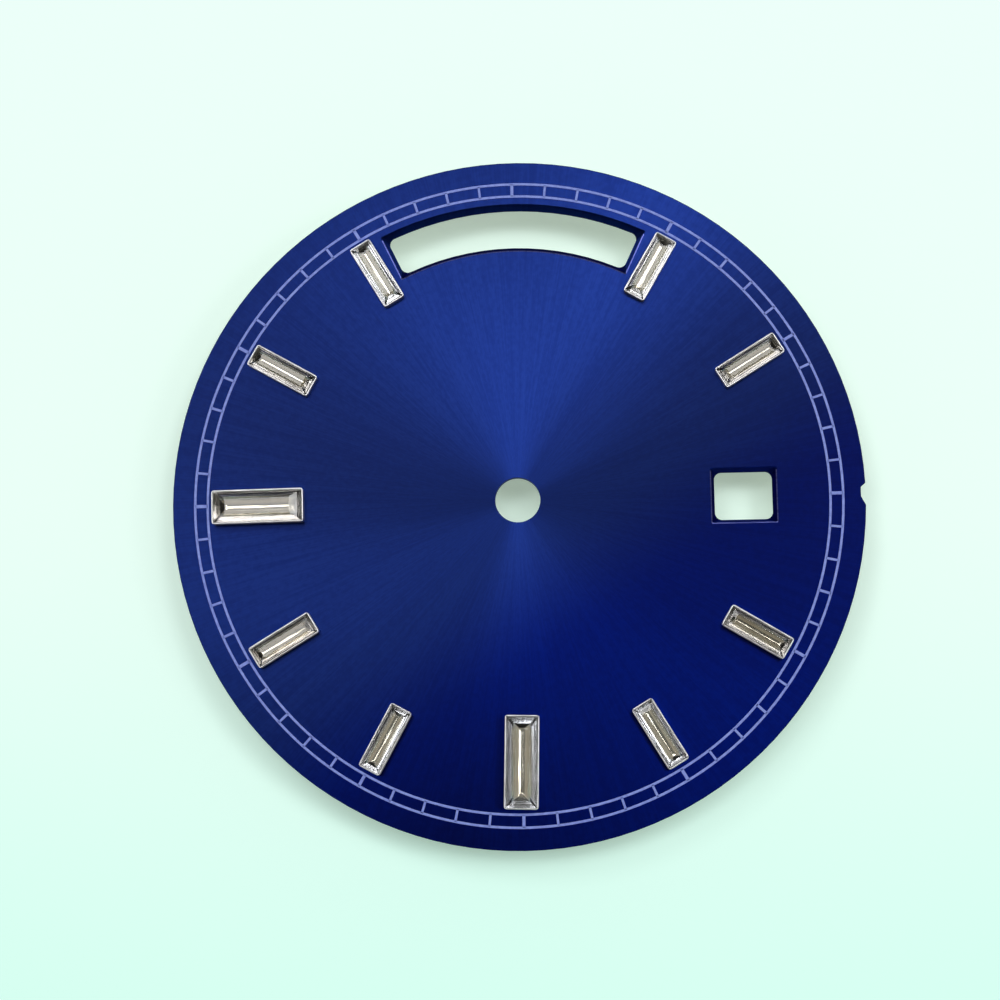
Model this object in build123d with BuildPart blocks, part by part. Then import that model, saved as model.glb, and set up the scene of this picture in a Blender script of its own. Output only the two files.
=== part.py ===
from build123d import *
import math
import os

os.makedirs("parts", exist_ok=True)

# Stone-set watch dial, in millimetres. The origin is on the axis of the centre bore, at the
# plate's back face. +Z points out of the front, +Y to 12 o'clock and +X to 3 o'clock.
# Clock angles are in degrees, clockwise from 12.

# Plate
dial_diameter = 28.5
plate_thickness = 0.40
plate_edge_bevel = 0.03
bore_diameter = 1.86

# Register notch in the rim at 3 o'clock: one steep flank and one shallow
notch_depth = 0.20
notch_floor = 0.38
notch_steep_run = 0.17
notch_shallow_run = 0.38
notch_rise = 0.04
notch_round = 0.05

# Windows: a bevelled frame runs down to a round-cornered opening with a straight land at the back
window_corner = 0.30
frame_corner = 0.04
frame_edge_bevel = 0.03
window_land = 0.10
date_track_gap = 2.33
date_width = 2.38
date_height = 1.96
date_bevel = 0.15
day_track_gap = 0.54
day_height = 1.60
day_half_angle = 25.4
day_bevel = 0.19

# Minute track, printed on the front
track_margin = 0.93
track_width = 0.52
track_line = 0.10
minute_line = 0.10
hour_line = 0.13
ink_thickness = 0.02
minute_count = 60
hour_count = 12

# Markers: a walled setting with two riveted pins, and a step-cut stone in it
marker_track_gap = 0.22
small_length = 2.86
small_width = 0.97
large_length = 3.78
large_width = 1.40
setting_wall = 0.05
setting_floor = 0.06
setting_corner = 0.12
setting_edge_bevel = 0.02
seat_ledge = 0.05
pin_diameter = 0.36
pin_inset = 0.50
pin_head_flare = 0.10
pin_clearance = 0.02
pin_sides = 12

# Stone: fits in its setting. The steps are shares of half its width, measured from the girdle:
# the crown's inset at the sides, inset at the ends and rise, and the pavilion's inset and drop
stone_clearance = 0.01
keel_clearance = 0.02
girdle_height = 0.03
crown_step_shares = ((0.16, 0.26, 0.14), (0.50, 0.80, 0.30))
pavilion_step_shares = ((0.50, 0.36), (0.80, 0.53), (0.94, 0.56))

# Dial feet, on the back
foot_diameter = 0.74
foot_length = 2.00
foot_rim_gap = 0.95
foot_weld_flare = 0.18
foot_weld_height = 0.15
foot_seat_depth = 0.12
foot_seat_clearance = 0.02
foot_tip_bevel = 0.10

# Places: clock angle of each marker, and how far it leans clockwise from the radius
small_marker_places = {
    1: (30.6, 0.0),
    2: (60.1, -1.4),
    4: (120.3, 0.7),
    5: (150.0, -0.9),
    7: (209.8, -1.0),
    8: (239.9, -0.9),
    10: (300.0, -0.3),
    11: (329.4, 0.0),
}
large_marker_places = {6: (180.2, 1.5), 9: (269.6, -0.3)}
foot_places = {"upper": 40.0, "lower": 214.0}

# Every cut runs this far past the face that it leaves
overrun = 1.0

# Sizes that follow
dial_radius = dial_diameter / 2
track_outer_radius = dial_radius - track_margin
track_inner_radius = track_outer_radius - track_width
track_mid_radius = (track_outer_radius + track_inner_radius) / 2
marker_end_radius = track_inner_radius - marker_track_gap
date_distance = track_inner_radius - date_track_gap - date_width / 2
day_outer_radius = track_inner_radius - day_track_gap
day_inner_radius = day_outer_radius - day_height
foot_distance = dial_radius - foot_rim_gap
foot_weld_radius = foot_diameter / 2 + foot_weld_flare


def clock_plane(angle, distance, height, lean=0.0):
    """A plane at a clock angle, whose Y axis points outwards along the radius."""
    place = math.radians(90 - angle)
    turn = math.radians(angle + lean)
    origin = (distance * math.cos(place), distance * math.sin(place), height)
    return Plane(origin=origin, x_dir=(math.cos(turn), -math.sin(turn), 0), z_dir=(0, 0, 1))


def marker_plane(place, length, height):
    """The plane of one marker, centred between its two ends."""
    angle, lean = place
    return clock_plane(angle, marker_end_radius - length / 2, height, lean)


def date_outline(height, grow, corner):
    """The date window's outline at one height, grown on every side."""
    with BuildSketch(Plane((date_distance, 0, height))) as outline:
        RectangleRounded(date_width + 2 * grow, date_height + 2 * grow, corner)
    return outline.sketch


def day_outline(height, grow, corner):
    """The day window's outline, a stretch of ring at 12 o'clock, grown on every side."""
    inner = day_inner_radius - grow
    outer = day_outer_radius + grow
    side_angle = math.radians(day_half_angle)
    ends = []
    for radius in (inner, outer):
        # Each side is a line parallel to the radius at the half angle, moved out by the growth.
        along = math.sqrt(radius**2 - grow**2)
        x = along * math.sin(side_angle) + grow * math.cos(side_angle)
        y = along * math.cos(side_angle) - grow * math.sin(side_angle)
        ends.append((x, y))
    (inner_x, inner_y), (outer_x, outer_y) = ends
    with BuildSketch(Plane.XY.offset(height)) as outline:
        with BuildLine():
            ThreePointArc((-outer_x, outer_y), (0, outer), (outer_x, outer_y))
            Line((outer_x, outer_y), (inner_x, inner_y))
            ThreePointArc((inner_x, inner_y), (0, inner), (-inner_x, inner_y))
            Line((-inner_x, inner_y), (-outer_x, outer_y))
        make_face()
        fillet(outline.vertices(), radius=corner)
    return outline.sketch


def stone_size(length, width):
    """The girdle of the stone that a setting of this size holds."""
    rim = 2 * (setting_wall + stone_clearance)
    return length - rim, width - rim


def girdle_base(width):
    """How high the girdle's lower edge lies above the plate's front face."""
    pavilion_depth = pavilion_step_shares[-1][1] * width / 2
    return setting_floor + keel_clearance + pavilion_depth


def step_angle(inset, height):
    """The taper of a facet that comes in by the inset over the height."""
    return math.degrees(math.atan2(inset, height))


def make_stone(place, length, width):
    """A step-cut stone: flat facets from the keel up to the girdle, and from there to the table."""
    stone_length, stone_width = stone_size(length, width)
    half = stone_width / 2
    base = plate_thickness + girdle_base(stone_width)
    rim = base + girdle_height
    sections = [(base - drop * half, inset, inset) for inset, drop in reversed(pavilion_step_shares)]
    sections += [(base, 0, 0), (rim, 0, 0)]
    sections += [(rim + rise * half, side, end) for side, end, rise in crown_step_shares]
    with BuildPart() as stone:
        for height, side, end in sections:
            with BuildSketch(marker_plane(place, length, height)):
                Rectangle(stone_width - 2 * side * half, stone_length - 2 * end * half)
        loft(ruled=True)
    return stone.part


def pin_places(length):
    """How far a marker's two pins lie from its middle, outwards along its length."""
    return length / 2 - pin_inset, pin_inset - length / 2


def make_pin(place, length, along, clearance=0, reach=0):
    """A pin with its riveted end at the plate's back face, grown by a clearance."""
    middle = marker_plane(place, length, 0)
    back = Plane(middle.from_local_coords((0, along, 0)))
    radius = pin_diameter / 2 + clearance
    with BuildPart() as pin:
        with BuildSketch(back):
            RegularPolygon(radius + pin_head_flare, pin_sides, major_radius=False)
        extrude(amount=pin_head_flare, taper=step_angle(pin_head_flare, pin_head_flare))
        with BuildSketch(back):
            RegularPolygon(radius, pin_sides, major_radius=False)
        extrude(amount=plate_thickness + reach)
    return pin.part


def make_setting(place, length, width):
    """A setting: a walled cup with a sloping seat for the stone, and two pins riveted behind."""
    stone_length, stone_width = stone_size(length, width)
    seat_slope = pavilion_step_shares[0][1] / pavilion_step_shares[0][0]
    front = plate_thickness
    base = front + girdle_base(stone_width)
    rim = base + girdle_height
    seat_top = base + stone_clearance * seat_slope
    seat_width = seat_ledge + stone_clearance
    seat_depth = seat_width * seat_slope
    with BuildPart() as setting:
        with BuildSketch(marker_plane(place, length, front)):
            RectangleRounded(width, length, setting_corner)
        extrude(amount=rim - front)
        chamfer(setting.faces().sort_by(Axis.Z)[-1].edges(), length=setting_edge_bevel)
        # Pocket for the girdle, seat in line with the pavilion's first facets, well for the keel
        with BuildSketch(marker_plane(place, length, seat_top)) as pocket:
            Rectangle(stone_width + 2 * stone_clearance, stone_length + 2 * stone_clearance)
        extrude(amount=rim - seat_top + overrun, mode=Mode.SUBTRACT)
        taper = step_angle(seat_width, seat_depth)
        extrude(pocket.sketch, amount=-seat_depth, taper=taper, mode=Mode.SUBTRACT)
        with BuildSketch(marker_plane(place, length, front + setting_floor)):
            Rectangle(stone_width - 2 * seat_ledge, stone_length - 2 * seat_ledge)
        extrude(amount=seat_top - seat_depth - front - setting_floor, mode=Mode.SUBTRACT)
        for along in pin_places(length):
            add(make_pin(place, length, along))
    return setting.part


def make_foot(angle):
    """A dial foot: a round peg, welded in a shallow seat in the plate, with a bevelled tip."""
    radius = foot_diameter / 2
    plane = clock_plane(angle, foot_distance, 0)
    with BuildPart() as foot:
        with BuildSketch(Plane(origin=plane.origin, x_dir=(1, 0, 0), z_dir=(0, -1, 0))):
            with BuildLine():
                Polyline(
                    (0, foot_seat_depth),
                    (foot_weld_radius, foot_seat_depth),
                    (foot_weld_radius, 0),
                    (radius, -foot_weld_height),
                    (radius, foot_tip_bevel - foot_length),
                    (radius - foot_tip_bevel, -foot_length),
                    (0, -foot_length),
                    close=True,
                )
            make_face()
        revolve(axis=Axis(plane.origin, (0, 0, 1)))
    return foot.part


markers = {hour: (place, small_length, small_width) for hour, place in small_marker_places.items()}
markers |= {hour: (place, large_length, large_width) for hour, place in large_marker_places.items()}

# Dial plate
with BuildPart() as dial_plate:
    with BuildSketch():
        Circle(dial_radius)
        with BuildSketch(mode=Mode.SUBTRACT) as notch:
            with BuildLine():
                floor_x = dial_radius - notch_depth
                floor_top = notch_rise + notch_floor / 2
                floor_bottom = notch_rise - notch_floor / 2
                past_rim = overrun / notch_depth
                Polyline(
                    (floor_x, floor_top),
                    (dial_radius + overrun, floor_top + notch_steep_run * (1 + past_rim)),
                    (dial_radius + overrun, floor_bottom - notch_shallow_run * (1 + past_rim)),
                    (floor_x, floor_bottom),
                    close=True,
                )
            make_face()
            fillet(notch.vertices().group_by(Axis.X)[0], radius=notch_round)
    extrude(amount=plate_thickness)
    chamfer(dial_plate.faces().sort_by(Axis.Z)[-1].edges(), length=plate_edge_bevel)
    # Both windows: the frame's slope from the front, the land, then the frame's broken edge
    for outline, bevel in ((date_outline, date_bevel), (day_outline, day_bevel)):
        opening = outline(window_land, 0, window_corner)
        frame = outline(plate_thickness, bevel, frame_corner)
        loft(sections=[opening, frame], ruled=True, mode=Mode.SUBTRACT)
        extrude(to_extrude=opening, amount=-(window_land + overrun), mode=Mode.SUBTRACT)
    frame_edges = dial_plate.faces().sort_by(Axis.Z)[-1].inner_wires().edges()
    chamfer(frame_edges, length=frame_edge_bevel)
    Hole(bore_diameter / 2)
    # Holes for the settings' pins, flared at the back for the riveted ends
    for place, length, width in markers.values():
        for along in pin_places(length):
            add(make_pin(place, length, along, pin_clearance, overrun), mode=Mode.SUBTRACT)
    # Shallow seats for the dial feet
    for angle in foot_places.values():
        with BuildSketch(clock_plane(angle, foot_distance, 0)):
            Circle(foot_weld_radius + foot_seat_clearance)
        extrude(amount=foot_seat_depth, mode=Mode.SUBTRACT)

# Minute track
with BuildPart() as minute_track:
    with BuildSketch(Plane.XY.offset(plate_thickness)):
        for radius in (track_outer_radius, track_inner_radius):
            Circle(radius + track_line / 2)
            Circle(radius - track_line / 2, mode=Mode.SUBTRACT)
        with PolarLocations(track_mid_radius, minute_count):
            Rectangle(track_width, minute_line)
        with PolarLocations(track_mid_radius, hour_count):
            Rectangle(track_width, hour_line)
    extrude(amount=ink_thickness)

pieces = {"dial_plate": dial_plate.part, "minute_track": minute_track.part}
for hour, (place, length, width) in markers.items():
    pieces[f"setting_{hour:02d}_oclock"] = make_setting(place, length, width)
    pieces[f"stone_{hour:02d}_oclock"] = make_stone(place, length, width)
for side, angle in foot_places.items():
    pieces[f"{side}_dial_foot"] = make_foot(angle)

for name, piece in pieces.items():
    piece.label = name
    export_step(piece, f"parts/{name}.step")
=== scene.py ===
import math

import bmesh
import bpy
from bpy.props import FloatProperty, FloatVectorProperty, IntProperty, PointerProperty
from bpy.types import Operator, Panel, PropertyGroup
from mathutils import Matrix, Vector


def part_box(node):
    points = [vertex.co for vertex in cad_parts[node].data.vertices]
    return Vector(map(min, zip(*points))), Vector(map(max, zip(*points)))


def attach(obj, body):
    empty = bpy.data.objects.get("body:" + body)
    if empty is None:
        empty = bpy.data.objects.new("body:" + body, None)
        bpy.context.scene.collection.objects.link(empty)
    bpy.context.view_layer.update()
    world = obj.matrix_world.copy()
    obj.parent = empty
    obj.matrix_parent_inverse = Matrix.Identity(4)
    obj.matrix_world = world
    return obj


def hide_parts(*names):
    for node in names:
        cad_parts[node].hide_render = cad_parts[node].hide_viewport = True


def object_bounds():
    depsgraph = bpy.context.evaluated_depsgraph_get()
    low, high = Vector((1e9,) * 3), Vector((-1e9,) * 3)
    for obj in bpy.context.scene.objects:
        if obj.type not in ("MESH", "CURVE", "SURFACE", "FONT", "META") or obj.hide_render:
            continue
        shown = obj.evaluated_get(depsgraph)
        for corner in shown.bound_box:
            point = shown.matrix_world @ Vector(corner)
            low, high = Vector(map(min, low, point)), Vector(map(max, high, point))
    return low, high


bl_info = {
    "name": "Stone-set watch dial",
    "version": (1, 0, 0),
    "blender": (4, 5, 0),
    "location": "3D View > Sidebar > Watch dial",
    "description": "Finishes a stone-set sunray watch dial and lights it in a small studio",
    "category": "Object",
}

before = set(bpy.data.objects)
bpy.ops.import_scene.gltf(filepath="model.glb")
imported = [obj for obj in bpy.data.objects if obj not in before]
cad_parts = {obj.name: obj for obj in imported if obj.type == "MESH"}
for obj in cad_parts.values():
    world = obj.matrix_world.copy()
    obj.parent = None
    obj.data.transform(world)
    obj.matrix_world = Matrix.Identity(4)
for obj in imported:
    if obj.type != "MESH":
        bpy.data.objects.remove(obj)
cad_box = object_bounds()

# Sizes are in metres, as in the frame. Patterns are worked out in millimetres.
MM = 0.001
BODY = "root"
track_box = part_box("minute_track")
TRACK_OUTER_RADIUS = track_box[1].y
INK_THICKNESS = track_box[1].z - track_box[0].z
FACE_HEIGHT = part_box("dial_plate")[1].z
FLOOR_HEIGHT = cad_box[0].z

# Corners closer than the weld distance are one corner. Facets that turn by less than the flat angle
# are one facet, and an edge that turns by more than the sharp angle gets rounded.
WELD_DISTANCE = 0.0005 * MM
FLAT_ANGLE = math.radians(1)
SHARP_ANGLE = math.radians(20)

# How far the silver behind each hour's stone is dulled: partly tarnish, and partly painted shade that sets
# how bright each stone looks
FOIL_SHADE_SHARES = {1: 0.45, 2: 0.7, 4: 0.75, 5: 0.13, 6: 0.13, 7: 0.2, 8: 0.85, 9: 0.7, 10: 0.7, 11: 0.25}

# Softboxes: name, clock angle and height in degrees, and power in watts
SOFTBOXES = (
    ("upper left softbox", 327, 58, 0.16),
    ("right softbox", 92, 52, 0.12),
    ("upper right softbox", 39, 63, 0.08),
    ("high right softbox", 65, 67, 0.23),
    ("high left softbox", 292, 69, 0.15),
    ("top right softbox", 15, 75, 0.13),
    ("top left softbox", 325, 77, 0.14),
)

# The room's light: the sine of the height above the horizon, and the colour there
ROOM_TONES = (
    (0.0, (0.66, 0.62, 0.54)),
    (0.34, (0.66, 0.62, 0.54)),
    (0.57, (0.42, 0.41, 0.37)),
    (0.82, (0.24, 0.24, 0.22)),
    (1.0, (0.18, 0.18, 0.17)),
)

# The photograph's camera: its place, the way it looks, the way up and its sensor's width in millimetres
CAMERA_PLACE = Vector((1.5556, -10.1365, 82.4184)) * MM
CAMERA_LOOK = Vector((-0.02765, 0.12270, -0.99206))
CAMERA_UP = Vector((0.02148, 0.99228, 0.12213))
SENSOR_WIDTH = 36.0
NEAREST_SEEN = 0.001
FARTHEST_SEEN = 20.0


def length(name, description, default):
    """A size in metres, shown in the scene's own unit."""
    return FloatProperty(
        name=name, description=description, default=default, min=0.0, precision=6, unit="LENGTH"
    )


def colour(name, description, default):
    """A colour in scene linear."""
    return FloatVectorProperty(
        name=name, description=description, default=default, size=3, min=0.0, max=1.0, subtype="COLOR"
    )


def share(name, description, default):
    """A number from 0 to 1."""
    return FloatProperty(
        name=name, description=description, default=default, min=0.0, max=1.0, subtype="FACTOR"
    )


def count(name, description, default):
    """A whole number of at least 1."""
    return IntProperty(name=name, description=description, default=default, min=1)


class PlateFinish(PropertyGroup):
    lacquer_deep: colour("Deep lacquer", "Blue where the lacquer lies thick", (0.0039, 0.0133, 0.101))
    lacquer_bright: colour("Bright lacquer", "Blue on the crests of the brushing", (0.0058, 0.0186, 0.128))
    # Painted highlight: pale blue painted on the windows' broken edges where they catch the light
    painted_edge_highlight: colour("Thin lacquer", "Blue on the windows' broken edges", (0.17, 0.20, 0.62))
    lacquer_glance: colour("Glance colour", "Blue of the lacquer at a grazing view", (0.05, 0.10, 0.42))
    # Painted shade: the blue darkens towards about 5 o'clock, the side away from the upper left softbox,
    # between these distances from the middle
    painted_shade_tint: colour("Pool tint", "Multiplies the blue where the lacquer lies thickest", (0.04, 0.34, 0.95))
    painted_shade_clock: FloatProperty(
        name="Pool direction",
        description="Clock angle towards which the lacquer grows thick",
        default=math.radians(147),
        subtype="ANGLE",
    )
    painted_shade_start: length("Pool start", "How far from the middle the lacquer starts to grow thick", 0.0012)
    painted_shade_end: length("Pool end", "How far from the middle the lacquer is at its thickest", 0.0064)
    edge_depth: length("Edge depth", "How far down the windows' broken edges reach", 0.00003)
    date_window_top: length("Date window top", "From the middle line to the window's upper edge", 0.00105)
    day_window_top: length("Day window top", "From the dial's middle to the window's upper edge", 0.01235)
    brushing: share("Brushing", "How strongly the sunray brushing stretches a highlight", 1.0)
    gloss: share("Lacquer roughness", "Roughness of the brushed metal under the lacquer", 0.40)
    coat: share("Clear coat", "Weight of the clear lacquer's own reflection", 0.03)
    coat_gloss: share("Coat roughness", "Roughness of the clear lacquer's own reflection", 0.30)
    streak_depth: length("Streak depth", "How deep the brushed lines are", 0.0000004)
    brass: colour("Brass", "The plate's bare back", (0.78, 0.68, 0.50))
    brass_dark: colour("Dull brass", "Tarnish on the bare back", (0.50, 0.41, 0.27))


class TrackFinish(PropertyGroup):
    line_width: length("Line width", "Width of the two rings and of a minute stroke", 0.00010)
    hour_width: length("Hour stroke", "Width of an hour's stroke", 0.00013)
    track_width: length("Track width", "From the middle of one ring to the middle of the other", 0.00052)
    edge_round: length("Edge round", "How far the ink's edges are rounded", 0.000007)
    strokes: count("Strokes", "Strokes in the whole track", 60)
    strokes_per_hour: count("Strokes per hour", "Every so many strokes one is wide", 5)
    ring_segments: count("Ring segments", "Straight runs in each ring", 360)
    uneven: share("Uneven print", "How much the strokes differ in width", 0.06)
    seed: count("Seed", "Picks the uneven widths", 4)
    ink: colour("Ink", "The printed lines", (0.225, 0.30, 0.77))
    ink_thin: colour("Thin ink", "Where the blue shows through the print", (0.15, 0.205, 0.64))
    pore_depth: length("Pore depth", "How deep the pores in the ink are", 0.000002)


class SettingFinish(PropertyGroup):
    plating: colour("Plating", "Polished pale plating", (0.80, 0.80, 0.83))
    worn: colour("Worn plating", "Where the plating is a little dull", (0.64, 0.63, 0.65))
    polish: share("Roughness", "Roughness of the polished plating", 0.34)
    mark_depth: length("Mark depth", "How deep the handling marks are", 0.0000006)
    rim_round: length("Rim round", "How far the upper edges of the wall are rounded", 0.000012)


class StoneFinish(PropertyGroup):
    edge_bevel: length("Edge bevel", "The polished break on every edge between facets", 0.000006)
    glass: colour("Glass", "The clear body", (0.97, 0.97, 0.94))
    glass_warm: colour("Warm glass", "Faint warm clouds in the body", (0.94, 0.90, 0.84))
    refraction: FloatProperty(
        name="Refraction", description="How strongly the glass bends light", default=1.53, min=1.0
    )
    foil: colour("Foil", "Silver behind the stone", (0.84, 0.865, 0.92))
    # Dull foil: tarnish, and the painted shade that makes some stones darker than others
    foil_tarnish_and_shade: colour("Dull foil", "Where the foil is tarnished", (0.43, 0.41, 0.385))
    # Painted reflection: a warm tint laid on the silver along the middle of each stone
    painted_reflection_tint: colour("Heart tint", "Multiplies the silver along the middle of the stone", (1.0, 0.96, 0.82))
    cloudy: share("Cloudy tarnish", "How much the tarnish varies over one stone", 0.12)
    foil_roughness: share("Foil roughness", "Roughness of the silver behind the stone", 0.13)
    streak_depth: length("Streak depth", "How deep the streaks along the silver are", 0.000014)


class FootFinish(PropertyGroup):
    copper: colour("Copper", "Bare drawn copper", (0.80, 0.42, 0.26))
    oxide: colour("Oxide", "Browned copper", (0.36, 0.17, 0.10))
    line_depth: length("Line depth", "How deep the lines of drawing are", 0.000002)


class StudioSetup(PropertyGroup):
    floor_near: colour("Floor below", "The floor towards 6 o'clock", (0.660, 1.0, 0.895))
    floor_far: colour("Floor above", "The floor towards 12 o'clock", (0.805, 1.0, 0.930))
    floor_cover: share("Floor cover", "How much of the floor's colour the softboxes have to light", 0.86)
    floor_glow: share("Floor glow", "How much of its colour the sheet shows by itself", 0.29)
    floor_size: length("Floor size", "Side of the square floor", 3.0)
    lamp_distance: length("Lamp distance", "From the middle of the dial to each softbox", 0.40)
    lamp_size: length("Lamp size", "Side of each softbox", 0.10)
    brightness: FloatProperty(
        name="Brightness", description="Scales all softboxes alike", default=1.14, min=0.0
    )
    room_level: share("Room level", "How bright the room round the softboxes is", 0.6)
    lens: FloatProperty(name="Lens", description="Focal length", default=72.39, unit="CAMERA")


class Socket:
    """One socket of a node tree. Sums and products of sockets add their own Math nodes."""

    def __init__(self, tree, output=None):
        self.tree = tree
        self.output = output

    def add(self, kind, settings=None, inputs=None, output=0):
        """Adds a node: first its settings, then the values or links of its inputs.

        A colour ramp's stops, each a place and a colour, count as a setting. Sockets whose names repeat
        within a node are told apart by number.
        """
        node = self.tree.nodes.new(kind)
        for name, value in (settings or {}).items():
            if name == "stops":
                ramp = node.color_ramp
                while len(ramp.elements) < len(value):
                    ramp.elements.new(1.0)
                for element, (place, tone) in zip(ramp.elements, value):
                    element.position = place
                    element.color = (*tone, 1.0)
            else:
                setattr(node, name, value)
        for name, value in (inputs or {}).items():
            if isinstance(value, Socket):
                self.tree.links.new(value.output, node.inputs[name])
            else:
                node.inputs[name].default_value = value
        return Socket(self.tree, node.outputs[output] if node.outputs else None)

    def maths(self, operation, first, second=0.0):
        return self.add("ShaderNodeMath", {"operation": operation}, {0: first, 1: second})

    def __add__(self, other):
        return self.maths("ADD", self, other)

    def __sub__(self, other):
        return self.maths("SUBTRACT", self, other)

    def __rsub__(self, other):
        return self.maths("SUBTRACT", other, self)

    def __mul__(self, other):
        return self.maths("MULTIPLY", self, other)

    def __truediv__(self, other):
        return self.maths("DIVIDE", self, other)

    __radd__ = __add__
    __rmul__ = __mul__


class Paint(Socket):
    """A material's node tree, with the pattern tools that the finishes share."""

    def __init__(self, name):
        self.material = bpy.data.materials.new(name)
        self.material.use_nodes = True
        self.material.node_tree.nodes.clear()
        super().__init__(self.material.node_tree)
        place = self.add("ShaderNodeTexCoord", output="Object")
        self.mm = self.vector("SCALE", place, {"Scale": 1 / MM})

    def vector(self, operation, first, more=None, output=0):
        return self.add("ShaderNodeVectorMath", {"operation": operation}, {0: first, **(more or {})}, output)

    def axis(self, name):
        """One coordinate in millimetres."""
        return self.add("ShaderNodeSeparateXYZ", None, {"Vector": self.mm}, name)

    def reach(self, direction):
        """How far the place lies in a direction of the dial's face, in millimetres."""
        x, y = direction
        return self.vector("DOT_PRODUCT", self.mm, {1: (x, y, 0.0)}, "Value")

    def stretched(self, scale):
        """The place in millimetres, scaled along each axis."""
        return self.vector("MULTIPLY", self.mm, {1: scale})

    def noise(self, place, detail=2.0):
        """Noise with one blotch or so to each unit of the place."""
        return self.add("ShaderNodeTexNoise", None, {"Vector": place, "Scale": 1.0, "Detail": detail})

    def blotches(self, per_mm, detail=2.0):
        """Noise with about this many blotches to a millimetre."""
        return self.noise(self.stretched((per_mm, per_mm, per_mm)), detail)

    def spread(self, value, low, high, to_low=0.0, to_high=1.0):
        """The value's range from low to high, moved to another range and held within it."""
        return self.add(
            "ShaderNodeMapRange",
            {"interpolation_type": "SMOOTHSTEP"},
            {"Value": value, "From Min": low, "From Max": high, "To Min": to_low, "To Max": to_high},
        )

    def blend(self, factor, first, second):
        """A mix of two colours."""
        tones = [tone if isinstance(tone, Socket) else (*tone, 1.0) for tone in (first, second)]
        return self.add(
            "ShaderNodeMix", {"data_type": "RGBA"}, {0: factor, 6: tones[0], 7: tones[1]}, 2
        )

    def bump(self, height, depth):
        return self.add("ShaderNodeBump", None, {"Height": height, "Distance": depth})

    def surface(self, **inputs):
        """The Principled shader, its sockets named with underscores."""
        named = {name.replace("_", " "): value for name, value in inputs.items()}
        return self.add("ShaderNodeBsdfPrincipled", None, named)

    def finish(self, shader):
        self.add("ShaderNodeOutputMaterial", None, {"Surface": shader})
        return self.material


class SunrayPaint(Paint):
    """Paint with brushing that runs out from the middle of the dial in rays."""

    def __init__(self, name):
        super().__init__(name)
        flat = self.stretched((1.0, 1.0, 0.0))
        self.radius = self.vector("LENGTH", flat, output="Value")
        self.spoke = self.vector("NORMALIZE", flat)
        self.outward = self.add("ShaderNodeCombineXYZ", None, {"Z": self.radius})

    def rays(self, per_turn, drift, detail=2.0):
        """Noise in rays: how many lie round a turn, and how much each changes per millimetre."""
        around = self.vector("SCALE", self.spoke, {"Scale": per_turn / (2 * math.pi)})
        place = self.vector("MULTIPLY_ADD", self.outward, {1: (0.0, 0.0, drift), 2: around})
        return self.noise(place, detail)


def dress(node, material):
    """Gives a carried-over node its finish."""
    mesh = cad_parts[node].data
    mesh.materials.clear()
    mesh.materials.append(material)


def seat_piece(name, mesh, slot, *nodes):
    """A finished piece, in place of the solids that it stands for."""
    piece = bpy.data.objects.new(name, mesh)
    bpy.context.scene.collection.objects.link(piece)
    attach(piece, BODY)
    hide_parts(*nodes)


def nodes_of(prefix):
    """The names of the like pieces, in order."""
    found = sorted(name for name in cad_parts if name.startswith(prefix))
    if not found:
        raise RuntimeError(f"the frame has no piece whose name starts with {prefix}")
    return found


def blue_lacquer_and_shade(paint, finish, grain):
    """Blue that follows the brushing, with painted shade that deepens it on the side away from the upper left
    softbox.
    """
    blue = paint.blend(paint.spread(grain, 0.40, 0.62), finish.lacquer_deep, finish.lacquer_bright)
    # Painted shade: deeper blue on the side away from the upper left softbox
    towards = paint.reach((math.sin(finish.painted_shade_clock), math.cos(finish.painted_shade_clock)))
    shaded_side = paint.spread(towards, finish.painted_shade_start / MM, finish.painted_shade_end / MM)
    return paint.blend(shaded_side, blue, paint.vector("MULTIPLY", blue, {1: finish.painted_shade_tint}))


def bare_brass(paint, finish, lines):
    """Brushed brass, tarnished in places."""
    clouds = paint.blotches(0.25, detail=3.0)
    dulled = paint.spread(lines * 0.5 + clouds * 0.5, 0.40, 0.62)
    return paint.blend(dulled, finish.brass_dark, finish.brass)


def painted_highlight_edges(paint, finish):
    """Where a highlight is painted: the windows' broken edges, apart from their upper ones, which stay in
    shade.
    """
    height = paint.axis("Z")
    face = FACE_HEIGHT / MM
    foot = face - finish.edge_depth / MM
    above_foot = paint.spread(height, foot, foot + 0.004)
    below_face = paint.spread(height, face - 0.0001, face - 0.001)

    # The bore's wall lies between those heights too, and so do the rim and the day window's upper edge
    near_bore = 1.5
    day_top = finish.day_window_top / MM
    clear_of_bore = paint.spread(paint.radius, near_bore, near_bore + 0.1)
    below_day_top = paint.spread(paint.radius, day_top, day_top - 0.05)

    # A strip across the dial holds the date window's upper edge
    up = paint.axis("Y")
    date_top = finish.date_window_top / MM
    strip_top = date_top + 1.0
    strip = paint.spread(up, date_top - 0.03, date_top) * paint.spread(up, strip_top, strip_top - 0.1)
    return above_foot * below_face * clear_of_bore * below_day_top * (1 - strip)


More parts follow.
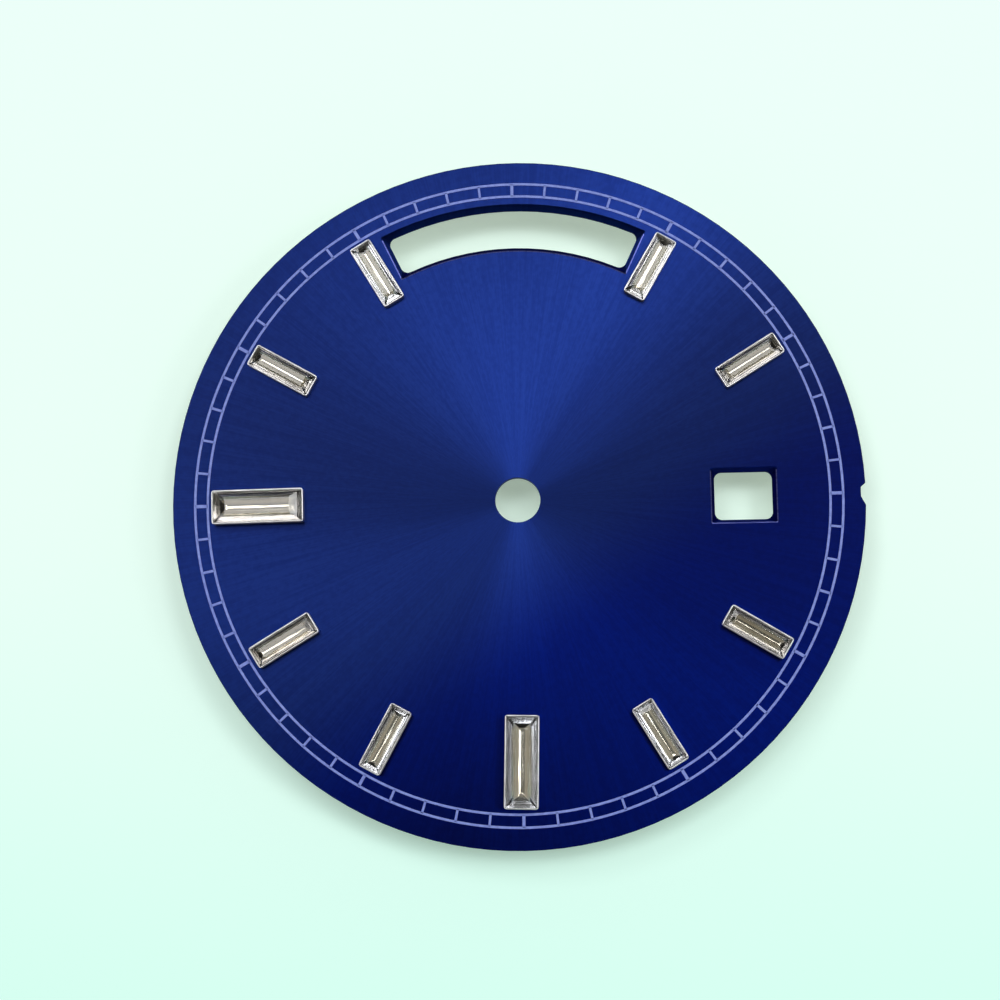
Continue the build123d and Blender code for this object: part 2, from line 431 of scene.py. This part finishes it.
def plate_material(finish):
    """Sunray-brushed metal under clear blue lacquer on the front, and bare brushed brass behind."""
    paint = SunrayPaint("sunray blue lacquer")
    fine = paint.rays(1100, drift=0.35, detail=3.0)
    middle = paint.rays(260, drift=0.12)
    broad = paint.rays(26, drift=0.03)
    flecks = paint.rays(340, drift=4.5)
    scratches = paint.spread(paint.rays(420, drift=1.1, detail=1.0), 0.66, 0.78)
    grain = fine * 0.30 + flecks * 0.30 + middle * 0.25 + broad * 0.15
    # A painted highlight on the windows' broken edges, broken up along the fine brushing
    highlight_mask = painted_highlight_edges(paint, finish) * paint.spread(fine, 0.30, 0.60, 0.5, 1.0)
    front = paint.blend(highlight_mask, blue_lacquer_and_shade(paint, finish, grain), finish.painted_edge_highlight)

    back_lines = paint.noise(paint.stretched((0.6, 24.0, 24.0)), detail=3.0)
    back = bare_brass(paint, finish, back_lines)

    # The lacquer covers all but the back face, which lies at height 0
    lacquered = paint.spread(paint.axis("Z"), 0.005, 0.02)
    front_lines = fine * 0.6 + middle * 0.4 + scratches * 0.5
    relief = front_lines * lacquered + back_lines * (1 - lacquered)
    return paint.finish(paint.surface(
        Base_Color=paint.blend(lacquered, back, front),
        Metallic=1.0,
        Roughness=finish.gloss + (middle - 0.5) * 0.04 + scratches * 0.03,
        Anisotropic=finish.brushing,
        Specular_Tint=(*finish.lacquer_glance, 1.0),
        Coat_Weight=lacquered * finish.coat,
        Coat_Roughness=finish.coat_gloss,
        Normal=paint.bump(relief, finish.streak_depth),
    ))


def ink_material(finish):
    """Lavender ink, lying a little thinner in places."""
    paint = Paint("lavender ink")
    mottle = paint.blotches(5.0, detail=3.0)
    pores = paint.blotches(38.0)
    covered = paint.spread(mottle * 0.6 + pores * 0.4, 0.36, 0.62)
    return paint.finish(paint.surface(
        Base_Color=paint.blend(covered, finish.ink_thin, finish.ink),
        Roughness=0.42 + pores * 0.2,
        Normal=paint.bump(pores, finish.pore_depth),
    ))


def setting_material(finish):
    """Polished pale plating with fine handling marks."""
    paint = Paint("polished plating")
    clouds = paint.blotches(1.4, detail=3.0)
    marks = paint.noise(paint.stretched((9.0, 60.0, 30.0)))
    return paint.finish(paint.surface(
        Base_Color=paint.blend(paint.spread(clouds, 0.35, 0.55), finish.worn, finish.plating),
        Metallic=1.0,
        Roughness=finish.polish + (marks - 0.5) * 0.12,
        Normal=paint.bump(marks, finish.mark_depth),
    ))


def stone_place(node):
    """Where a stone lies: the direction of its length, which points out from the middle of the dial, then in
    millimetres its distance from there, half its length, half its width and the height of its foil's edge.

    The foil ends with the pavilion, at the lowest height at which the stone is as wide as it gets.
    """
    low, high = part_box(node)
    middle = (low + high) / 2
    outward = middle.xy.normalized()
    sideways = outward.orthogonal()
    corners = [vertex.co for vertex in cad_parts[node].data.vertices]
    arms = [corner.xy - middle.xy for corner in corners]
    half_length = max(abs(arm.dot(outward)) for arm in arms)
    half_width = max(abs(arm.dot(sideways)) for arm in arms)
    girdle_reach = max(arm.length for arm in arms) - 2 * WELD_DISTANCE
    foil_line = min(corner.z for corner, arm in zip(corners, arms) if arm.length > girdle_reach)
    return outward, middle.xy.length / MM, half_length / MM, half_width / MM, foil_line / MM


def stone_material(finish, name, place, tarnish_and_shade):
    """Clear step-cut glass whose facets under the girdle are backed with silver foil, dulled by tarnish and
    by painted shade.

    A painted warm reflection makes the silver warmer along the middle of the stone, and streaks run along its
    length.
    """
    outward, distance, half_length, half_width, foil_line = place
    paint = Paint(name)
    along = paint.reach(outward)
    across = paint.reach((-outward.y, outward.x))
    lengthwise = paint.add("ShaderNodeCombineXYZ", None, {"X": across * 6.0, "Y": along * 0.35})
    streaks = paint.noise(lengthwise)
    # The painted warm reflection fades out over these shares of half the width and half the length
    from_side = 1 - paint.spread(paint.maths("ABSOLUTE", across) / half_width, 0.40, 0.62)
    from_end = 1 - paint.spread(paint.maths("ABSOLUTE", along - distance) / half_length, 0.70, 0.80)
    clouds = paint.blotches(1.1)
    specks = paint.blotches(4.0, detail=3.0)
    glass = paint.surface(
        Base_Color=paint.blend(paint.spread(clouds, 0.35, 0.65), finish.glass_warm, finish.glass),
        Roughness=0.0,
        IOR=finish.refraction,
        Transmission_Weight=1.0,
    )
    # Painted shade and tarnish: each stone's foil is dulled by its own share, varied by the clouds
    least, most = tarnish_and_shade - finish.cloudy, tarnish_and_shade + finish.cloudy
    dull = paint.spread(clouds * 0.7 + specks * 0.3, 0.30, 0.70, least, most)
    silver = paint.blend(dull, finish.foil, finish.foil_tarnish_and_shade)
    # Painted reflection: the silver is made warmer along the middle of the stone
    silver_with_reflection = paint.vector("MULTIPLY", silver, {1: finish.painted_reflection_tint})
    foil = paint.surface(
        Base_Color=paint.blend(from_side * from_end, silver, silver_with_reflection),
        Metallic=1.0,
        Roughness=finish.foil_roughness + (specks - 0.5) * 0.06,
        Normal=paint.bump(streaks, finish.streak_depth),
    )
    # The foil ends within a thousandth of a millimetre of its line
    backed = paint.spread(paint.axis("Z"), foil_line + 0.001, foil_line - 0.001)
    return paint.finish(paint.add("ShaderNodeMixShader", None, {0: backed, 1: glass, 2: foil}))


def foot_material(finish):
    """Drawn copper, browned in places."""
    paint = Paint("drawn copper")
    lines = paint.noise(paint.stretched((26.0, 26.0, 1.2)))
    clouds = paint.blotches(2.0, detail=3.0)
    clean = paint.spread(lines * 0.4 + clouds * 0.6, 0.38, 0.62)
    return paint.finish(paint.surface(
        Base_Color=paint.blend(clean, finish.oxide, finish.copper),
        Metallic=1.0,
        Roughness=0.28 + clouds * 0.2,
        Normal=paint.bump(lines, finish.line_depth),
    ))


def floor_material(setup):
    """A smooth pale mint sheet, a little greener towards 6 o'clock, that glows faintly of itself."""
    paint = Paint("pale mint sheet")
    # The colour turns between these two lines across the floor, which wander a little, in millimetres
    near_line = -24.0
    far_line = 2.0
    wander = 8.0
    mottle = paint.blotches(0.02)
    far = paint.spread(paint.axis("Y") + (mottle - 0.5) * wander, near_line, far_line)
    tone = paint.blend(far, setup.floor_near, setup.floor_far)
    # The glow shows where the floor is looked at, also in metal and through glass, and lights nothing
    seen = paint.add("ShaderNodeLightPath", output="Is Camera Ray")
    for ray in ("Is Glossy Ray", "Is Transmission Ray"):
        seen = paint.maths("MAXIMUM", seen, paint.add("ShaderNodeLightPath", output=ray))
    return paint.finish(paint.surface(
        Base_Color=paint.vector("SCALE", tone, {"Scale": setup.floor_cover}),
        Roughness=0.85,
        Specular_IOR_Level=0.1,
        Emission_Color=paint.vector("SCALE", tone, {"Scale": seen * setup.floor_glow}),
        Emission_Strength=1.0,
    ))


def track_tree(material):
    """Two rings and their strokes, swept with one rounded line section."""
    tree = bpy.data.node_groups.new("minute track", "GeometryNodeTree")
    measures = (
        "Outer radius", "Inner radius", "Line width", "Hour width share", "Ink thickness", "Edge round",
        "Face height", "Uneven",
    )
    counts = ("Strokes", "Strokes per hour", "Seed", "Ring segments")
    for names, kind in ((measures, "NodeSocketFloat"), (counts, "NodeSocketInt")):
        for name in names:
            tree.interface.new_socket(name, in_out="INPUT", socket_type=kind)
    tree.interface.new_socket("Geometry", in_out="OUTPUT", socket_type="NodeSocketGeometry")
    track = Socket(tree)
    inputs = tree.nodes.new("NodeGroupInput")
    given = {socket.name: Socket(tree, socket) for socket in inputs.outputs if socket.name}

    section = track.add(
        "GeometryNodeCurvePrimitiveQuadrilateral",
        {"mode": "RECTANGLE"},
        {"Width": given["Line width"], "Height": given["Ink thickness"]},
    )
    section = track.add(
        "GeometryNodeFilletCurve",
        {"mode": "POLY"},
        {"Curve": section, "Count": 3, "Radius": given["Edge round"]},
    )

    def swept(path):
        upright = track.add("GeometryNodeSetCurveNormal", {"mode": "Z_UP"}, {"Curve": path})
        return track.add(
            "GeometryNodeCurveToMesh",
            None,
            {"Curve": upright, "Profile Curve": section, "Fill Caps": True},
        )

    rings = [
        swept(track.add(
            "GeometryNodeCurvePrimitiveCircle",
            {"mode": "RADIUS"},
            {"Resolution": given["Ring segments"], "Radius": given[radius]},
        ))
        for radius in ("Outer radius", "Inner radius")
    ]
    inner_end = track.add("ShaderNodeCombineXYZ", None, {"X": given["Inner radius"]})
    outer_end = track.add("ShaderNodeCombineXYZ", None, {"X": given["Outer radius"]})
    stroke = swept(track.add(
        "GeometryNodeCurvePrimitiveLine", {"mode": "POINTS"}, {"Start": inner_end, "End": outer_end}
    ))

    index = track.add("GeometryNodeInputIndex")
    angle = index * (2 * math.pi) / given["Strokes"]
    on_hour = track.add(
        "FunctionNodeCompare",
        {"data_type": "FLOAT", "operation": "LESS_THAN"},
        {0: track.maths("MODULO", index, given["Strokes per hour"]), 1: 0.5},
    )
    wander = track.add(
        "FunctionNodeRandomValue",
        {"data_type": "FLOAT"},
        {2: 1 - given["Uneven"], 3: 1 + given["Uneven"], "ID": index, "Seed": given["Seed"]},
        1,
    )
    width = wander * track.add(
        "GeometryNodeSwitch", {"input_type": "FLOAT"}, {0: on_hour, 1: 1.0, 2: given["Hour width share"]}
    )
    strokes = track.add(
        "GeometryNodeInstanceOnPoints",
        None,
        {
            "Points": track.add("GeometryNodePoints", None, {"Count": given["Strokes"]}),
            "Instance": stroke,
            "Rotation": track.add("ShaderNodeCombineXYZ", None, {"Z": angle}),
            "Scale": track.add("ShaderNodeCombineXYZ", None, {"X": 1.0, "Y": width, "Z": 1.0}),
        },
    )
    join = tree.nodes.new("GeometryNodeJoinGeometry")
    for part in (*rings, strokes):
        tree.links.new(part.output, join.inputs[0])
    lift = track.add("ShaderNodeCombineXYZ", None, {"Z": given["Face height"] + given["Ink thickness"] / 2})
    lifted = track.add(
        "GeometryNodeTransform", None, {"Geometry": Socket(tree, join.outputs[0]), "Translation": lift}
    )
    solid = track.add("GeometryNodeRealizeInstances", None, {"Geometry": lifted})
    inked = track.add("GeometryNodeSetMaterial", None, {"Geometry": solid, "Material": material})
    result = tree.nodes.new("NodeGroupOutput")
    tree.links.new(inked.output, result.inputs[0])
    return tree


def grown_mesh(name, tree, values):
    """The mesh that a tree makes from these inputs."""
    host = bpy.data.objects.new(name, bpy.data.meshes.new(name))
    bpy.context.scene.collection.objects.link(host)
    modifier = host.modifiers.new(name, "NODES")
    modifier.node_group = tree
    for item in tree.interface.items_tree:
        if item.in_out == "INPUT":
            modifier[item.identifier] = values[item.name]
    graph = bpy.context.evaluated_depsgraph_get()
    mesh = bpy.data.meshes.new_from_object(host.evaluated_get(graph), depsgraph=graph)
    host.modifiers.remove(modifier)
    bpy.data.objects.remove(host)
    mesh.name = name
    return mesh


def welded_copy(node):
    """A copy of a solid's triangles, joined at their corners."""
    work = bmesh.new()
    work.from_mesh(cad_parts[node].data)
    bmesh.ops.remove_doubles(work, verts=work.verts, dist=WELD_DISTANCE)
    return work


def broken_mesh(name, work, edges, offset, segments):
    """Breaks or rounds these edges of a copy and makes a mesh of it, which uses the copy up."""
    bmesh.ops.bevel(
        work,
        geom=edges,
        offset=offset,
        offset_type="OFFSET",
        segments=segments,
        profile=0.5,
        affect="EDGES",
    )
    bmesh.ops.triangulate(work, faces=[face for face in work.faces if len(face.verts) > 4])
    mesh = bpy.data.meshes.new(name)
    work.to_mesh(mesh)
    work.free()
    return mesh


def cut_stone_mesh(node, bevel):
    """A copy of a stone's solid with its flat facets whole again and every edge between them broken."""
    work = welded_copy(node)
    bmesh.ops.dissolve_limit(work, angle_limit=FLAT_ANGLE, verts=work.verts, edges=work.edges)
    return broken_mesh(node + "_cut", work, work.edges[:], bevel, segments=2)


def rimmed_setting_mesh(node, rim_round):
    """A copy of a setting's solid whose wall has rounded upper edges."""
    work = welded_copy(node)
    near_top = max(vertex.co.z for vertex in work.verts) - rim_round * 1.5
    rims = [
        edge
        for edge in work.edges
        if all(vertex.co.z > near_top for vertex in edge.verts)
        and edge.is_manifold
        and edge.calc_face_angle() > SHARP_ANGLE
    ]
    return broken_mesh(node + "_rimmed", work, rims, rim_round, segments=3)


def softbox(name, place, aim, size, power):
    """A lamp with a square face, turned to the aim."""
    lamp = bpy.data.lights.new(name, "AREA")
    lamp.shape = "SQUARE"
    lamp.size = size
    lamp.energy = power
    box = bpy.data.objects.new(name, lamp)
    box.location = place
    box.rotation_euler = (aim - place).to_track_quat("-Z", "Y").to_euler()
    bpy.context.scene.collection.objects.link(box)


class DIAL_OT_plate(Operator):
    """Lacquer the dial plate"""
    bl_idname = "dial.plate"
    bl_label = "Dial plate"

    def execute(self, context):
        dress("dial_plate", plate_material(context.scene.dial_plate))
        return {"FINISHED"}


class DIAL_OT_minute_track(Operator):
    """Print the minute track"""
    bl_idname = "dial.minute_track"
    bl_label = "Minute track"

    def execute(self, context):
        finish = context.scene.dial_track
        material = ink_material(finish)
        outer_radius = TRACK_OUTER_RADIUS - finish.line_width / 2
        mesh = grown_mesh("printed_minute_track", track_tree(material), {
            "Outer radius": outer_radius,
            "Inner radius": outer_radius - finish.track_width,
            "Line width": finish.line_width,
            "Hour width share": finish.hour_width / finish.line_width,
            "Ink thickness": INK_THICKNESS,
            "Edge round": finish.edge_round,
            "Face height": FACE_HEIGHT,
            "Uneven": finish.uneven,
            "Strokes": finish.strokes,
            "Strokes per hour": finish.strokes_per_hour,
            "Seed": finish.seed,
            "Ring segments": finish.ring_segments,
        })
        if not mesh.polygons:
            raise RuntimeError("the minute track came out empty")
        seat_piece("printed_minute_track", mesh, "track_ink", "minute_track")
        dress("minute_track", material)
        return {"FINISHED"}


class DIAL_OT_settings(Operator):
    """Plate and polish the ten settings"""
    bl_idname = "dial.settings"
    bl_label = "Settings"

    def execute(self, context):
        finish = context.scene.dial_setting
        material = setting_material(finish)
        for node in nodes_of("setting_"):
            mesh = rimmed_setting_mesh(node, finish.rim_round)
            mesh.materials.append(material)
            seat_piece("rimmed_" + node, mesh, "bright_setting", node)
            dress(node, material)
        return {"FINISHED"}


class DIAL_OT_stones(Operator):
    """Cut and foil the ten stones"""
    bl_idname = "dial.stones"
    bl_label = "Stones"

    def execute(self, context):
        finish = context.scene.dial_stone
        for node in nodes_of("stone_"):
            hour = node.split("_")[1]
            # Each hour's share of dulling is partly painted shade
            tarnish_and_shade = FOIL_SHADE_SHARES[int(hour)]
            material = stone_material(finish, "foiled glass " + hour, stone_place(node), tarnish_and_shade)
            mesh = cut_stone_mesh(node, finish.edge_bevel)
            mesh.materials.append(material)
            seat_piece("cut_" + node, mesh, "clear_stone", node)
            dress(node, material)
        return {"FINISHED"}


class DIAL_OT_feet(Operator):
    """Finish the two dial feet"""
    bl_idname = "dial.feet"
    bl_label = "Dial feet"

    def execute(self, context):
        material = foot_material(context.scene.dial_foot)
        for node in ("upper_dial_foot", "lower_dial_foot"):
            dress(node, material)
        return {"FINISHED"}


class DIAL_OT_stage(Operator):
    """Lay the floor, hang the lamps and set up the camera"""
    bl_idname = "dial.stage"
    bl_label = "Studio"

    def execute(self, context):
        setup = context.scene.dial_studio
        self.lay_floor(setup)
        self.hang_lamps(setup)
        self.light_room(setup)
        self.place_camera(setup)
        context.scene.view_settings.view_transform = "Standard"
        return {"FINISHED"}

    def lay_floor(self, setup):
        """A square floor, on which the dial stands with its feet."""
        half = setup.floor_size / 2
        corners = ((-half, -half), (half, -half), (half, half), (-half, half))
        mesh = bpy.data.meshes.new("floor")
        mesh.from_pydata([(x, y, FLOOR_HEIGHT) for x, y in corners], [], [(0, 1, 2, 3)])
        mesh.materials.append(floor_material(setup))
        floor = bpy.data.objects.new("floor", mesh)
        bpy.context.scene.collection.objects.link(floor)

    def hang_lamps(self, setup):
        """Softboxes over the dial, all aimed at its middle."""
        aim = Vector((0.0, 0.0, FACE_HEIGHT))
        for name, clock, height, power in SOFTBOXES:
            turn = math.radians(clock)
            rise = math.radians(height)
            away = Vector((math.sin(turn) * math.cos(rise), math.cos(turn) * math.cos(rise), math.sin(rise)))
            softbox(name, aim + away * setup.lamp_distance, aim, setup.lamp_size, power * setup.brightness)

    def light_room(self, setup):
        """A room that is brighter towards the horizon than overhead."""
        world = bpy.data.worlds.new("studio room")
        bpy.context.scene.world = world
        world.use_nodes = True
        world.node_tree.nodes.clear()
        room = Socket(world.node_tree)
        direction = room.add("ShaderNodeTexCoord", output="Generated")
        up = room.add("ShaderNodeSeparateXYZ", None, {"Vector": direction}, "Z")
        wall = room.add("ShaderNodeValToRGB", {"stops": ROOM_TONES}, {"Fac": up})
        light = room.add("ShaderNodeBackground", None, {"Color": wall, "Strength": setup.room_level})
        room.add("ShaderNodeOutputWorld", None, {"Surface": light})

    def place_camera(self, setup):
        """The photograph's view: nearly straight down, from a little towards 6 o'clock."""
        look = CAMERA_LOOK.normalized()
        right = look.cross(CAMERA_UP).normalized()
        up = right.cross(look)
        data = bpy.data.cameras.new("camera")
        data.lens = setup.lens
        data.sensor_width = SENSOR_WIDTH
        data.clip_start = NEAREST_SEEN
        data.clip_end = FARTHEST_SEEN
        camera = bpy.data.objects.new("camera", data)
        turn = Matrix((right, up, -look)).transposed()
        camera.matrix_world = Matrix.Translation(CAMERA_PLACE) @ turn.to_4x4()
        bpy.context.scene.collection.objects.link(camera)
        bpy.context.scene.camera = camera


class DIAL_PT_panel(Panel):
    """Lists the pieces of the dial and their finishes"""
    bl_idname = "DIAL_PT_panel"
    bl_label = "Watch dial"
    bl_space_type = "VIEW_3D"
    bl_region_type = "UI"
    bl_category = "Watch dial"

    def draw(self, context):
        for operator, group in STEPS:
            box = self.layout.box()
            box.operator(operator.bl_idname)
            settings = getattr(context.scene, group)
            for name in settings.__annotations__:
                box.prop(settings, name)


GROUPS = {
    "dial_plate": PlateFinish,
    "dial_track": TrackFinish,
    "dial_setting": SettingFinish,
    "dial_stone": StoneFinish,
    "dial_foot": FootFinish,
    "dial_studio": StudioSetup,
}
STEPS = (
    (DIAL_OT_stage, "dial_studio"),
    (DIAL_OT_plate, "dial_plate"),
    (DIAL_OT_minute_track, "dial_track"),
    (DIAL_OT_settings, "dial_setting"),
    (DIAL_OT_stones, "dial_stone"),
    (DIAL_OT_feet, "dial_foot"),
)
CLASSES = (*GROUPS.values(), *(operator for operator, group in STEPS), DIAL_PT_panel)


def register():
    for cls in CLASSES:
        bpy.utils.register_class(cls)
    for name, group in GROUPS.items():
        setattr(bpy.types.Scene, name, PointerProperty(type=group))


def unregister():
    for name in GROUPS:
        delattr(bpy.types.Scene, name)
    for cls in reversed(CLASSES):
        bpy.utils.unregister_class(cls)


def main():
    register()
    bpy.ops.dial.stage()
    bpy.ops.dial.plate()
    bpy.ops.dial.minute_track()
    bpy.ops.dial.settings()
    bpy.ops.dial.stones()
    bpy.ops.dial.feet()


if __name__ == "__main__":
    main()
